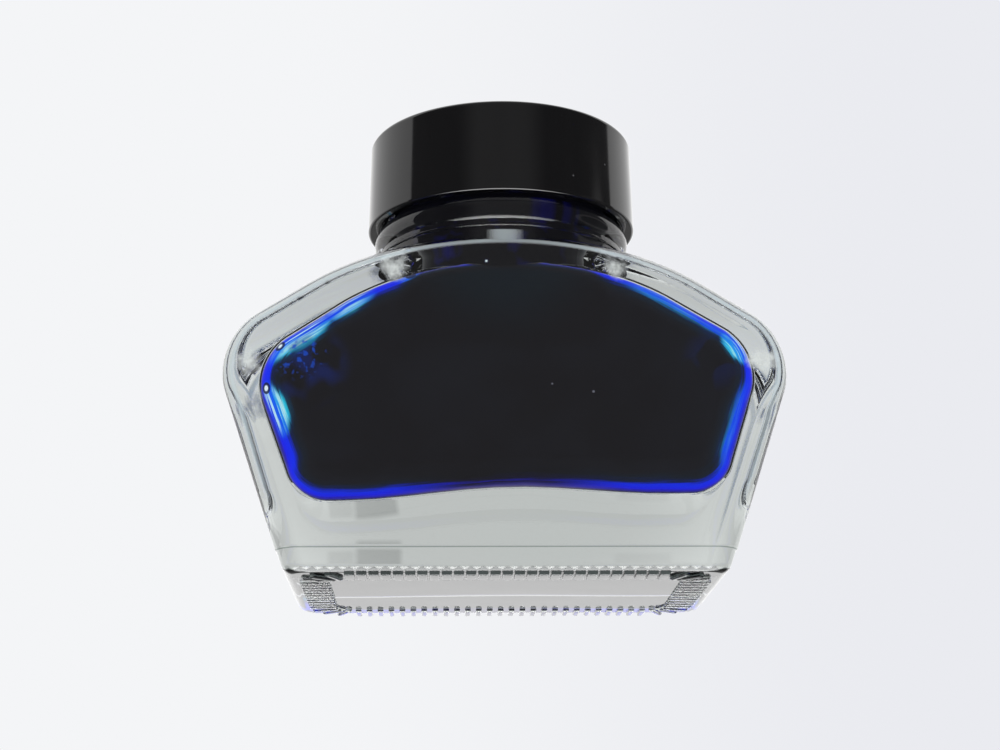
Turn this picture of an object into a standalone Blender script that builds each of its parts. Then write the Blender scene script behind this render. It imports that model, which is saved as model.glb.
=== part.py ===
"""Desk ink bottle: thick clear glass body, ink, and a screw cap with its sealing liner.

Metres, +Z up. The bottle stands on z = 0 with its axis on Z, its width along X and its flat
front face towards -Y.
"""

import math

import bmesh
import bpy
from mathutils import Matrix, Vector

MM = 0.001
FIT_GAP = 0.3 * MM  # Left between pieces that touch on the real bottle.

# Outside of the glass body, as seen from the front.
BODY_DEPTH = 36.0 * MM
BODY_EDGE_RADIUS = 3.0 * MM
HEEL_RADIUS = 1.2 * MM
BODY_OUTLINE = {
    "floor": 0.0,
    "side_foot": 28.7 * MM,  # Half width where the side planes meet z = 0.
    "side_lean": math.radians(18.9),
    "shoulder_rise": math.radians(32.2),
    "shoulder_peak": 56.8 * MM,  # Height at which the two shoulder planes would meet.
    "arch_top": 46.9 * MM,
    "shoulder_radius": 8.5 * MM,
    "foot_radius": 0.0,
}

# Inside of the body. The blown hollow sits a little off centre and turned on its thick base.
CAVITY_DEPTH = 28.8 * MM
CAVITY_EDGE_RADIUS = 5.0 * MM
CAVITY_OUTLINE = {
    "floor": 11.0 * MM,
    "side_foot": 24.6 * MM,
    "side_lean": math.radians(18.9),
    "shoulder_rise": math.radians(32.2),
    "shoulder_peak": 52.8 * MM,
    "arch_top": 44.4 * MM,
    "shoulder_radius": 6.4 * MM,
    "foot_radius": 6.0 * MM,
}
CAVITY_SHIFT = 0.4 * MM
CAVITY_TILT = math.radians(-1.2)
CAVITY_PIVOT_Z = 25.0 * MM

# Shallow panel pressed into the underside, inside the ring that the bottle stands on.
PANEL_SIZE = (46.0 * MM, 25.0 * MM)
PANEL_DEPTH = 0.4 * MM
PANEL_CORNER = 4.0 * MM

# Neck and its finish.
NECK_RADIUS = 17.4 * MM
BEAD_RADIUS = 18.1 * MM
BEAD_BOTTOM = 49.0 * MM
BEAD_TOP = 51.9 * MM
FINISH_RADIUS = 15.5 * MM
LIP_TOP = 62.2 * MM
LIP_ROUNDING = 0.8 * MM
BORE_RADIUS = 12.9 * MM
INK_LEVEL = 54.0 * MM

# Screw thread: one start, right hand, so the cap rises one pitch in each turn.
THREAD_PITCH = 4.233 * MM
NECK_THREAD_RADIUS = 16.7 * MM
NECK_THREAD_START = 54.6 * MM
NECK_THREAD_TURNS = 1.3
CAP_THREAD_RADIUS = 15.95 * MM
CAP_THREAD_TURNS = 1.25
THREAD_SEAT_RISE = 0.6 * MM  # The closed cap's thread bears up against the neck's thread.
THREAD_CREST = 0.8 * MM
THREAD_ROOT = 1.9 * MM
THREAD_BURIED = 0.4 * MM
THREAD_RUN_OUT = math.radians(30)

# Cap.
CAP_RIM_Z = 52.35 * MM
CAP_TOP_Z = 65.6 * MM
CAP_RIM_RADIUS = 19.08 * MM
CAP_TOP_RADIUS = 18.8 * MM
CAP_TOP_ROUNDING = 0.8 * MM
CAP_RIM_ROUNDING = 0.4 * MM
CAP_INNER_RADIUS = 17.35 * MM
CAP_INNER_TOP = 63.9 * MM
LINER_RADIUS = 16.8 * MM
LINER_CHAMFER = 0.2 * MM

ROUND_STEPS = 64
THREAD_STEPS_PER_TURN = 40
MERGE_DISTANCE = 0.00002
SHARP_ANGLE = math.radians(35)


def clear_scene():
    for obj in list(bpy.data.objects):
        bpy.data.objects.remove(obj, do_unlink=True)


def new_collection(name):
    collection = bpy.data.collections.new(name)
    bpy.context.scene.collection.children.link(collection)
    return collection


def new_material(name, colour, roughness, transmission=0.0, ior=1.5):
    material = bpy.data.materials.new(name)
    material.use_nodes = True
    shader = material.node_tree.nodes["Principled BSDF"]
    shader.inputs["Base Color"].default_value = (*colour, 1.0)
    shader.inputs["Roughness"].default_value = roughness
    shader.inputs["Metallic"].default_value = 0.0
    shader.inputs["Transmission Weight"].default_value = transmission
    shader.inputs["IOR"].default_value = ior
    material.diffuse_color = (*colour, 1.0)
    return material


def add_object(name, mesh, collection, material=None):
    obj = bpy.data.objects.new(name, mesh)
    collection.objects.link(obj)
    if material:
        mesh.materials.append(material)
    return obj


def mesh_from(bm, name):
    mesh = bpy.data.meshes.new(name)
    bm.to_mesh(mesh)
    bm.free()
    return mesh


def smooth_shading(obj):
    obj.data.shade_smooth()
    obj.data.set_sharp_from_angle(angle=SHARP_ANGLE)


def arc(centre, radius, start, end, steps):
    """Points from angle start to angle end on a circle in the plane of the outline."""
    points = []
    for step in range(steps + 1):
        angle = start + (end - start) * step / steps
        points.append((centre[0] + radius * math.cos(angle), centre[1] + radius * math.sin(angle)))
    return points


def half_outline(shape, inset):
    """Right half of the pentagon, from the middle of its floor up to the top of its arch.

    Inset moves every side inwards by the same distance.
    """
    lean, rise = shape["side_lean"], shape["shoulder_rise"]
    floor = shape["floor"] + inset
    foot = shape["side_foot"] - inset / math.cos(lean)
    peak = shape["shoulder_peak"] - inset / math.cos(rise)
    top = shape["arch_top"] - inset
    corner_radius = shape["shoulder_radius"] - inset
    foot_radius = max(shape["foot_radius"] - inset, 0.0)

    points = [(0.0, floor)]
    foot_x = foot + floor * math.tan(lean)
    if foot_radius > 0.0:
        # The side leans out, so the foot turns by more than a quarter of a circle less the lean.
        turn = math.pi / 2 - lean
        centre = (foot_x - foot_radius * math.tan(turn / 2), floor + foot_radius)
        points += arc(centre, foot_radius, -math.pi / 2, -lean, 6)
    else:
        points.append((foot_x, floor))

    # The shoulder corner touches the side plane and the shoulder plane.
    corner_z = (peak - foot * math.tan(rise)) / (1.0 + math.tan(lean) * math.tan(rise))
    corner_x = foot + corner_z * math.tan(lean)
    half_turn = (math.pi / 2 - rise + lean) / 2
    outward = half_turn - lean
    reach = corner_radius / math.cos(half_turn)
    centre = (corner_x - reach * math.cos(outward), corner_z - reach * math.sin(outward))
    points += arc(centre, corner_radius, -lean, math.pi / 2 - rise, 8)

    # The arch is centred on the axis and runs into the shoulder planes.
    arch_radius = (peak - top) * math.cos(rise) / (1.0 - math.cos(rise))
    points += arc((0.0, top - arch_radius), arch_radius, math.pi / 2 - rise, math.pi / 2, 8)
    return points


def pentagon_block(name, shape, depth, edge_radius, heel_radius, inset=0.0):
    """Solid of the outline's shape across the depth, with all its edges rounded."""
    right = half_outline(shape, inset)
    left = [(-x, z) for x, z in reversed(right[1:-1])]
    half_depth = depth / 2 - inset
    bm = bmesh.new()
    corners = [bm.verts.new((x, -half_depth, z)) for x, z in right + left]
    front = bm.faces.new(corners)
    bmesh.ops.extrude_face_region(bm, geom=[front], use_keep_orig=True)
    behind = [vert for vert in bm.verts if vert not in corners]
    bmesh.ops.translate(bm, verts=behind, vec=(0.0, 2 * half_depth, 0.0))
    floor = shape["floor"] + inset
    bmesh.ops.dissolve_limit(bm, angle_limit=math.radians(0.5), verts=bm.verts, edges=bm.edges)
    bmesh.ops.recalc_face_normals(bm, faces=bm.faces)

    def on_floor(edge):
        return all(abs(vert.co.z - floor) < MERGE_DISTANCE for vert in edge.verts)

    def across(edge):
        return abs(edge.verts[0].co.y - edge.verts[1].co.y) > MERGE_DISTANCE

    def round_off(edges, radius, segments):
        bmesh.ops.bevel(
            bm, geom=edges, offset=radius - inset, segments=segments, profile=0.5,
            affect="EDGES", offset_type="OFFSET", clamp_overlap=False, material=-1,
        )

    # A block with a heel keeps a sharp floor until the heel is rounded on its own.
    rims = [edge for edge in bm.edges if not across(edge) and not (heel_radius and on_floor(edge))]
    round_off(rims, edge_radius, 5)
    if heel_radius:
        under = [face for face in bm.faces if face.normal.z < -0.99]
        heel = {edge for face in under for edge in face.edges if len(edge.link_faces) == 2}
        round_off([edge for edge in heel if not all(f in under for f in edge.link_faces)], heel_radius, 3)
    bmesh.ops.remove_doubles(bm, verts=bm.verts, dist=MERGE_DISTANCE / 4)
    bmesh.ops.recalc_face_normals(bm, faces=bm.faces)
    return mesh_from(bm, name)


def turned(name, profile, collection, material=None):
    """Object turned about Z from a profile of (radius, height), given from its top down."""
    bm = bmesh.new()
    verts = [bm.verts.new((radius, 0.0, height)) for radius, height in profile]
    for upper, lower in zip(verts, verts[1:]):
        bm.edges.new((upper, lower))
    if profile[0][0] > 0.0:
        bm.edges.new((verts[-1], verts[0]))
    obj = add_object(name, mesh_from(bm, name), collection, material)
    screw = obj.modifiers.new("turn", "SCREW")
    screw.axis = "Z"
    screw.angle = math.tau
    screw.steps = ROUND_STEPS
    screw.render_steps = ROUND_STEPS
    screw.use_merge_vertices = True
    screw.merge_threshold = MERGE_DISTANCE
    return obj


def quarter(radius, height, rounding, start, steps=3):
    """Quarter round in a profile, going clockwise from angle start."""
    return arc((radius, height), rounding, start, start - math.pi / 2, steps)


def thread_ridge(name, root_radius, crest_radius, start_z, start_angle, turns, collection):
    """Helical ridge from a root cylinder to a crest, running out to nothing at both ends."""
    side = 1.0 if crest_radius > root_radius else -1.0
    buried_radius = root_radius - side * THREAD_BURIED
    depth = abs(crest_radius - root_radius)
    # Both flanks go on under the root surface at their own slope.
    flank = (THREAD_ROOT - THREAD_CREST) / 2 / depth
    buried_half = THREAD_ROOT / 2 + flank * THREAD_BURIED
    steps = round(turns * THREAD_STEPS_PER_TURN)
    total = turns * math.tau
    bm = bmesh.new()
    rings = []
    for step in range(steps + 1):
        angle = total * step / steps
        height = start_z + THREAD_PITCH * angle / math.tau
        rise = min(1.0, angle / THREAD_RUN_OUT, (total - angle) / THREAD_RUN_OUT)
        crest = root_radius + (crest_radius - root_radius) * rise - side * THREAD_BURIED * (1 - rise) / 2
        crest_half = buried_half - flank * abs(crest - buried_radius)
        section = [
            (buried_radius, -buried_half), (crest, -crest_half), (crest, crest_half), (buried_radius, buried_half),
        ]
        turn = Matrix.Rotation(start_angle + angle, 3, "Z")
        rings.append([bm.verts.new(turn @ Vector((r, 0.0, height + z))) for r, z in section])
    for ring, after in zip(rings, rings[1:]):
        for near in range(4):
            far = (near + 1) % 4
            bm.faces.new((ring[near], ring[far], after[far], after[near]))
    bm.faces.new(rings[0])
    bm.faces.new(rings[-1])
    bmesh.ops.recalc_face_normals(bm, faces=bm.faces)
    return add_object(name, mesh_from(bm, name), collection)


def combine(obj, tool, operation):
    tool.hide_render = True
    tool.display_type = "WIRE"
    modifier = obj.modifiers.new(tool.name, "BOOLEAN")
    modifier.operation = operation
    modifier.object = tool
    modifier.solver = "EXACT"


def tilt_cavity(mesh):
    """Turns a shape made upright into the place of the off-centre hollow."""
    pivot = Matrix.Translation((0.0, 0.0, CAVITY_PIVOT_Z))
    lean = Matrix.Rotation(CAVITY_TILT, 4, "Y")
    mesh.transform(Matrix.Translation((CAVITY_SHIFT, 0.0, 0.0)) @ pivot @ lean @ pivot.inverted())


def make_bottle_glass(collection, tools):
    glass = new_material("clear_glass", (0.86, 0.92, 0.90), 0.02, transmission=1.0, ior=1.52)
    body = pentagon_block("body", BODY_OUTLINE, BODY_DEPTH, BODY_EDGE_RADIUS, HEEL_RADIUS)
    bottle = add_object("bottle_glass", body, collection, glass)

    bead_half = (BEAD_TOP - BEAD_BOTTOM) / 2
    bead_bulge = BEAD_RADIUS - NECK_RADIUS
    bead_curve = (bead_half**2 + bead_bulge**2) / (2 * bead_bulge)
    bead_angle = math.asin(bead_half / bead_curve)
    bead_middle = BEAD_BOTTOM + bead_half
    neck_foot = BODY_OUTLINE["arch_top"] - 8 * MM
    profile = [(0.0, LIP_TOP)]
    profile += quarter(FINISH_RADIUS - LIP_ROUNDING, LIP_TOP - LIP_ROUNDING, LIP_ROUNDING, math.pi / 2)
    profile += [(FINISH_RADIUS, BEAD_TOP + 0.5 * MM), (FINISH_RADIUS + 0.5 * MM, BEAD_TOP)]
    profile += arc((BEAD_RADIUS - bead_curve, bead_middle), bead_curve, bead_angle, -bead_angle, 6)
    profile += [(NECK_RADIUS, neck_foot), (0.0, neck_foot)]
    neck = turned("neck_blank", profile, tools)
    combine(bottle, neck, "UNION")
    thread = thread_ridge(
        "neck_thread", FINISH_RADIUS, NECK_THREAD_RADIUS, NECK_THREAD_START, 0.0, NECK_THREAD_TURNS, tools
    )
    combine(bottle, thread, "UNION")

    hollow = pentagon_block(
        "hollow_blank", CAVITY_OUTLINE, CAVITY_DEPTH, CAVITY_EDGE_RADIUS, heel_radius=0.0
    )
    tilt_cavity(hollow)
    combine(bottle, add_object("hollow_blank", hollow, tools), "DIFFERENCE")
    mouth = [(0.0, LIP_TOP + 2 * MM), (BORE_RADIUS + LIP_ROUNDING, LIP_TOP + 2 * MM)]
    mouth += [(BORE_RADIUS + LIP_ROUNDING, LIP_TOP), (BORE_RADIUS, LIP_TOP - LIP_ROUNDING)]
    mouth += [(BORE_RADIUS, neck_foot), (0.0, neck_foot)]
    combine(bottle, turned("bore_blank", mouth, tools), "DIFFERENCE")

    bm = bmesh.new()
    bmesh.ops.create_cube(bm, size=1.0, matrix=Matrix.Diagonal((*PANEL_SIZE, 2 * PANEL_DEPTH, 1.0)))
    upright = [e for e in bm.edges if abs(e.verts[0].co.z - e.verts[1].co.z) > PANEL_DEPTH]
    bmesh.ops.bevel(
        bm, geom=upright, offset=PANEL_CORNER, segments=4, profile=0.5, affect="EDGES", material=-1
    )
    combine(bottle, add_object("panel_blank", mesh_from(bm, "panel_blank"), tools), "DIFFERENCE")
    smooth_shading(bottle)
    return bottle


def make_ink_fill(collection, tools):
    ink = new_material("blue_ink", (0.01, 0.02, 0.16), 0.05, transmission=0.4, ior=1.34)
    pool = pentagon_block(
        "ink", CAVITY_OUTLINE, CAVITY_DEPTH, CAVITY_EDGE_RADIUS, heel_radius=0.0, inset=FIT_GAP
    )
    tilt_cavity(pool)
    fill = add_object("ink_fill", pool, collection, ink)
    radius = BORE_RADIUS - FIT_GAP
    foot = CAVITY_OUTLINE["arch_top"] - 6 * MM
    column = turned(
        "ink_column", [(0.0, INK_LEVEL), (radius, INK_LEVEL), (radius, foot), (0.0, foot)], tools
    )
    combine(fill, column, "UNION")
    smooth_shading(fill)
    return fill


def make_cap_shell(collection, tools):
    plastic = new_material("black_cap_plastic", (0.012, 0.012, 0.014), 0.12)
    rounding = CAP_TOP_ROUNDING
    profile = [(0.0, CAP_TOP_Z)]
    profile += quarter(CAP_TOP_RADIUS - rounding, CAP_TOP_Z - rounding, rounding, math.pi / 2)
    profile += quarter(
        CAP_RIM_RADIUS - CAP_RIM_ROUNDING, CAP_RIM_Z + CAP_RIM_ROUNDING, CAP_RIM_ROUNDING, 0.0, 2
    )
    profile += [(CAP_INNER_RADIUS + CAP_RIM_ROUNDING, CAP_RIM_Z)]
    profile += [(CAP_INNER_RADIUS, CAP_RIM_Z + CAP_RIM_ROUNDING)]
    profile += [(CAP_INNER_RADIUS, CAP_INNER_TOP), (0.0, CAP_INNER_TOP)]
    cap = turned("cap_shell", profile, collection, plastic)
    # Half a turn round from the neck's thread, so each ridge runs in the other's groove.
    start = NECK_THREAD_START + THREAD_SEAT_RISE
    thread = thread_ridge(
        "cap_thread", CAP_INNER_RADIUS, CAP_THREAD_RADIUS, start, math.pi, CAP_THREAD_TURNS, tools
    )
    combine(cap, thread, "UNION")
    smooth_shading(cap)
    return cap


def make_cap_liner(collection):
    foam = new_material("liner_foam", (0.82, 0.82, 0.80), 0.6)
    top, bottom = CAP_INNER_TOP - FIT_GAP, LIP_TOP + FIT_GAP
    profile = [(0.0, top), (LINER_RADIUS - LINER_CHAMFER, top), (LINER_RADIUS, top - LINER_CHAMFER)]
    profile += [(LINER_RADIUS, bottom + LINER_CHAMFER), (LINER_RADIUS - LINER_CHAMFER, bottom)]
    liner = turned("cap_liner", profile + [(0.0, bottom)], collection, foam)
    smooth_shading(liner)
    return liner


def main():
    clear_scene()
    parts = new_collection("ink_bottle")
    tools = new_collection("cutters")
    axis = bpy.data.objects.new("cap_axis", None)
    axis.location = (0.0, 0.0, CAP_RIM_Z)
    parts.objects.link(axis)
    bpy.context.view_layer.update()

    make_bottle_glass(parts, tools)
    make_ink_fill(parts, tools)
    for piece in (make_cap_shell(parts, tools), make_cap_liner(parts)):
        piece.parent = axis
        piece.matrix_parent_inverse = axis.matrix_world.inverted()


main()
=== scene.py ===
import math

import bmesh
import bpy
from mathutils import Matrix, Vector


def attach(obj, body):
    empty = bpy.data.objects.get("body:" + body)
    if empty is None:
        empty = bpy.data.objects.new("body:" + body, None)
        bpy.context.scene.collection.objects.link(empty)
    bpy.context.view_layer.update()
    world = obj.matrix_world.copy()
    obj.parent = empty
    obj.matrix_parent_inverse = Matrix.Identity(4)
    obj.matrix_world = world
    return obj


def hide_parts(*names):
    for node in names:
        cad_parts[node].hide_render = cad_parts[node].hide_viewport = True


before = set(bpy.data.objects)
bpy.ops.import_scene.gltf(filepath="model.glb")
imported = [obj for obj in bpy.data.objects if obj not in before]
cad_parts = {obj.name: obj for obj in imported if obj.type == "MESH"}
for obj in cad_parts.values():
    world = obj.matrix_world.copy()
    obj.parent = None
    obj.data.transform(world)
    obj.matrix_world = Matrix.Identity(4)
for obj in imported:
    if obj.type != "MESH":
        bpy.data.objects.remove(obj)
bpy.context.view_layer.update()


# ---------------------------------------------------------------------------------------------
# Bottle: soda-lime glass, blown and pressed in one piece in a two-part mould with a base plate.
# The block of the body, the turned neck and its thread are joined, and the hollow and the bore
# are taken out of them, so the glass is one closed skin with its real wall thickness.
# ---------------------------------------------------------------------------------------------

MM = 0.001
SIDE_LEAN = math.radians(18.9)
SHOULDER_RISE = math.radians(32.2)
FOOT_RISE = 0.45 * MM  # The stippled ring lifts the pressed underside off the table.


def pentagon_block(foot, floor, peak, depth, corner, arch, foot_corner, rim, heel, inset=0.0, fine=1.0):
    """Five-sided block: extruded from its front outline, then rounded edge by edge.

    corner, arch and foot_corner are how far each rounding reaches along the flat sides.
    """
    foot, peak = foot - inset / math.cos(SIDE_LEAN), peak - inset / math.cos(SHOULDER_RISE)
    floor, half = floor + inset, depth / 2 - inset
    side, rise = math.tan(SIDE_LEAN), math.tan(SHOULDER_RISE)
    shoulder_z = (peak - foot * rise) / (1 + side * rise)
    shoulder_x = foot + shoulder_z * side
    foot_x = foot + floor * side
    bm = bmesh.new()
    outline = [(foot_x, floor), (shoulder_x, shoulder_z), (0, peak), (-shoulder_x, shoulder_z), (-foot_x, floor)]
    face = bm.faces.new([bm.verts.new((x, -half, z)) for x, z in outline])
    grown = bmesh.ops.extrude_face_region(bm, geom=[face], use_keep_orig=True)["geom"]
    bmesh.ops.translate(bm, verts=[g for g in grown if isinstance(g, bmesh.types.BMVert)], vec=(0, 2 * half, 0))
    bmesh.ops.recalc_face_normals(bm, faces=bm.faces)

    def round_edges(edges, reach, segments):
        bmesh.ops.bevel(bm, geom=edges, offset=reach, offset_type="OFFSET", segments=max(2, round(segments * fine)),
                        profile=0.5, affect="EDGES", material=-1, clamp_overlap=False, loop_slide=True)

    def cross_edges(where):
        return [e for e in bm.edges if abs(e.verts[0].co.y - e.verts[1].co.y) > half and where(e.verts[0].co)]

    round_edges(cross_edges(lambda co: co.z > peak - MM), arch, 40)
    round_edges(cross_edges(lambda co: (abs(co.x) - shoulder_x) ** 2 + (co.z - shoulder_z) ** 2 < MM**2), corner, 20)
    if foot_corner:
        round_edges(cross_edges(lambda co: co.z < floor + MM / 10), foot_corner, 16)

    def in_face_plane(edge):
        return abs(sum(v.co.y for v in edge.verts)) > 2 * half - MM / 100

    def on_floor(edge):
        return all(abs(v.co.z - floor) < MM / 100 for v in edge.verts)

    round_edges([e for e in bm.edges if in_face_plane(e) and not (heel and on_floor(e))], rim, 9)
    if heel:
        under = {f for f in bm.faces if f.normal.z < -0.99}
        round_edges([e for e in bm.edges if len(under.intersection(e.link_faces)) == 1], heel, 5)
    bmesh.ops.remove_doubles(bm, verts=bm.verts, dist=MM / 500)
    bmesh.ops.recalc_face_normals(bm, faces=bm.faces)
    return bm


def new_object(name, bm, material=None):
    mesh = bpy.data.meshes.new(name)
    bm.to_mesh(mesh)
    bm.free()
    if material:
        mesh.materials.append(material)
    obj = bpy.data.objects.new(name, mesh)
    bpy.context.scene.collection.objects.link(obj)
    return obj


def turned(profile, steps):
    """Closed shape turned about Z from (radius, height) points that run down its outer side."""
    bm = bmesh.new()
    verts = [bm.verts.new((r, 0, z)) for r, z in profile]
    edges = [bm.edges.new(pair) for pair in zip(verts, verts[1:])]
    if profile[0][0] > 0:
        edges.append(bm.edges.new((verts[-1], verts[0])))
    bmesh.ops.spin(bm, geom=verts + edges, cent=(0, 0, 0), axis=(0, 0, 1), angle=math.tau, steps=steps,
                   use_merge=True)
    bmesh.ops.remove_doubles(bm, verts=bm.verts, dist=MM / 1000)
    bmesh.ops.recalc_face_normals(bm, faces=bm.faces)
    return bm


def arc(centre_r, centre_z, radius, start, end, steps):
    angles = [math.radians(start + (end - start) * i / steps) for i in range(steps + 1)]
    return [(centre_r + radius * math.cos(a), centre_z + radius * math.sin(a)) for a in angles]


def join_solids(obj, tools, operation):
    """Boolean of each tool on the object, applied, with the tools removed."""
    for tool in tools:
        modifier = obj.modifiers.new(tool.name, "BOOLEAN")
        modifier.operation, modifier.object, modifier.solver = operation, tool, "EXACT"
        modifier.material_mode = "TRANSFER"
    graph = bpy.context.evaluated_depsgraph_get()
    mesh = bpy.data.meshes.new_from_object(obj.evaluated_get(graph))
    obj.modifiers.clear()
    obj.data = mesh
    for tool in tools:
        bpy.data.objects.remove(tool, do_unlink=True)


def thread_ridge(root, crest, start_z, start_turn, turns, crest_width=0.8 * MM, root_width=1.9 * MM):
    """Helical ridge swept up round Z, fading into its wall at both ends."""
    pitch, per_turn, buried = 4.233 * MM, 72, 0.3 * MM
    side = 1 if crest > root else -1
    flank = (root_width - crest_width) / 2 / abs(crest - root)
    inner, inner_half = root - side * buried, root_width / 2 + flank * buried
    bm = bmesh.new()
    ring = [(inner, -inner_half), (crest, -crest_width / 2), (crest, crest_width / 2), (inner, inner_half)]
    verts = [bm.verts.new((r, 0, start_z + z)) for r, z in ring]
    edges = [bm.edges.new((verts[i], verts[(i + 1) % 4])) for i in range(4)]
    steps = round(turns * per_turn)
    bmesh.ops.spin(bm, geom=verts + edges, cent=(0, 0, 0), axis=(0, 0, 1), dvec=(0, 0, pitch * turns / steps),
                   angle=turns * math.tau, steps=steps)
    bmesh.ops.holes_fill(bm, edges=bm.edges)
    for vert in bm.verts:
        turn = math.atan2(vert.co.y, vert.co.x) / math.tau
        turn += round((vert.co.z - start_z) / pitch - turn)
        radius = vert.co.xy.length
        shown = max(0.0, min(1.0, turn * 12, (turns - turn) * 12))
        wanted = inner + (radius - inner) * shown
        vert.co.xy *= wanted / radius
    bmesh.ops.rotate(bm, verts=bm.verts, cent=(0, 0, 0), matrix=Matrix.Rotation(start_turn * math.tau, 3, "Z"))
    bmesh.ops.remove_doubles(bm, verts=bm.verts, dist=MM / 1000)
    bmesh.ops.recalc_face_normals(bm, faces=bm.faces)
    return bm


def linear(code):
    """Scene-linear colour of an sRGB hex code."""
    parts = [int(code[i:i + 2], 16) / 255 for i in (1, 3, 5)]
    return tuple(c / 12.92 if c <= 0.04045 else ((c + 0.055) / 1.055) ** 2.4 for c in parts) + (1.0,)


def new_material(name):
    """Empty material with its Principled shader, as (material, shader)."""
    material = bpy.data.materials.new(name)
    material.use_nodes = True
    return material, material.node_tree.nodes["Principled BSDF"]


def add_node(material, kind, links=None, **settings):
    """Adds a node. links gives its inputs: a node, for its first output in use, an output, or a plain value."""
    node = material.node_tree.nodes.new(kind)
    for name, value in settings.items():
        setattr(node, name, value)
    for name, value in (links or {}).items():
        if isinstance(value, bpy.types.Node):
            value = next(output for output in value.outputs if output.enabled)
        if isinstance(value, bpy.types.NodeSocket):
            material.node_tree.links.new(value, node.inputs[name])
        else:
            node.inputs[name].default_value = value
    return node


# Flint soda-lime glass, fire polished: clear with a faint grey-green. The mould leaves a slow
# waviness in it, and chill wrinkles where the hot glass met the cold iron at the shoulder corners
# and under the neck.
glass, shader = new_material("soda_lime_glass")
shader.inputs["IOR"].default_value = 1.52
BAR_PITCH = 1.569 * MM
place = add_node(glass, "ShaderNodeTexCoord").outputs["Object"]
axes = add_node(glass, "ShaderNodeSeparateXYZ", {"Vector": place}).outputs
either_side = add_node(glass, "ShaderNodeMath", {0: axes["X"]}, operation="ABSOLUTE")
outward = add_node(glass, "ShaderNodeMath", {0: axes["Y"]}, operation="ABSOLUTE")
forward = add_node(glass, "ShaderNodeMath", {0: axes["Y"], 1: -1.0}, operation="MULTIPLY")
waves = {"Vector": place, "Scale": 1 / (7.14 * MM), "Detail": 1.0, "Roughness": 0.4}
waves = add_node(glass, "ShaderNodeTexNoise", waves)

# The finer patterns, each as the size of its marks in mm and its detail: the ragged edge of the
# chilled skin, the wrinkles in it, smears from handling, and cords of paler glass.
grain = {}
for name, size, detail in (("ragged", 2.38, 3.0), ("wrinkles", 0.909, 3.0), ("smears", 16.7, 4.0),
                           ("cords", 22.2, 2.0)):
    marks = {"Vector": place, "Scale": 1 / (size * MM), "Detail": detail}
    grain[name] = add_node(glass, "ShaderNodeTexNoise", marks)

# The chilled places, with ragged edges: at each one's middle it is 1, and beyond its edge 0.
folded = add_node(glass, "ShaderNodeCombineXYZ", {"X": either_side, "Z": axes["Z"]})
chill = 0.0
for x, z, core, edge in ((34.2, 28.6, 2.2, 4.4), (14.7, 41.6, 2.2, 4.3)):
    middle = (x * MM, 0, z * MM)
    reach = add_node(glass, "ShaderNodeVectorMath", {0: folded, 1: middle}, operation="DISTANCE")
    reach = add_node(glass, "ShaderNodeMath", {0: grain["ragged"], 1: 4.0 * MM, 2: reach}, operation="MULTIPLY_ADD")
    fade = {"Value": reach, "From Min": core * MM, "From Max": edge * MM, "To Min": 1.0, "To Max": 0.0}
    chilled = add_node(glass, "ShaderNodeMapRange", fade, interpolation_type="SMOOTHSTEP")
    chill = add_node(glass, "ShaderNodeMath", {0: chill, 1: chilled}, operation="MAXIMUM")
wrinkled = add_node(glass, "ShaderNodeMath", {0: grain["wrinkles"], 1: chill}, operation="MULTIPLY")
relief = add_node(glass, "ShaderNodeMath", {0: wrinkled, 1: 0.5, 2: waves}, operation="MULTIPLY_ADD")
bump = add_node(glass, "ShaderNodeBump", {"Height": relief, "Strength": 1.0, "Distance": 0.03 * MM})
glass.node_tree.links.new(bump.outputs["Normal"], shader.inputs["Normal"])

# Masks along one measure each, as (from, to) with the value before and after. The last two are
# how far a point is off the rounded ridge of the rim and off the mould seam.
RIM_RIDGE, SEAM = 17.5 * MM, 3.6 * MM
wave = add_node(glass, "ShaderNodeMath", {0: axes["X"], 1: math.tau / BAR_PITCH}, operation="MULTIPLY")
wave = add_node(glass, "ShaderNodeMath", {0: wave}, operation="COSINE")
crest = add_node(glass, "ShaderNodeMath", {0: wave, 1: 0.12 * MM, 2: 0.95 * MM}, operation="MULTIPLY_ADD")
over_crest = add_node(glass, "ShaderNodeMath", {0: axes["Z"], 1: crest}, operation="SUBTRACT")
off_ridge = add_node(glass, "ShaderNodeMath", {0: outward, 1: RIM_RIDGE}, operation="SUBTRACT")
off_ridge = add_node(glass, "ShaderNodeMath", {0: off_ridge}, operation="ABSOLUTE")
off_seam = add_node(glass, "ShaderNodeMath", {0: axes["Z"], 1: SEAM}, operation="SUBTRACT")
off_seam = add_node(glass, "ShaderNodeMath", {0: off_seam}, operation="ABSOLUTE")
masks = {}
for name, value, start, end, before, after, kind in (
        ("creases", grain["wrinkles"], 0.4, 0.6, 0.95, 0.55, "LINEAR"),
        ("dull", grain["smears"], 0.55, 0.8, 0.0, 0.04, "LINEAR"),
        ("heel", over_crest, -0.1 * MM, 0.1 * MM, 1.0, 0.0, "LINEAR"),
        ("front", forward, 12.6 * MM, 13.6 * MM, 0.0, 1.0, "LINEAR"),
        ("over_base", axes["Z"], 8 * MM, 13 * MM, 0.0, 1.0, "LINEAR"),
        ("ridge", off_ridge, 0.08 * MM, 0.32 * MM, 1.0, 0.0, "SMOOTHSTEP"),
        ("seam", off_seam, 0.02 * MM, 0.12 * MM, 1.0, 0.0, "SMOOTHSTEP")):
    ends = {"Value": value, "From Min": start, "From Max": end, "To Min": before, "To Max": after}
    masks[name] = add_node(glass, "ShaderNodeMapRange", ends, interpolation_type=kind)
glass.node_tree.links.new(masks["dull"].outputs["Result"], shader.inputs["Roughness"])

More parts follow.
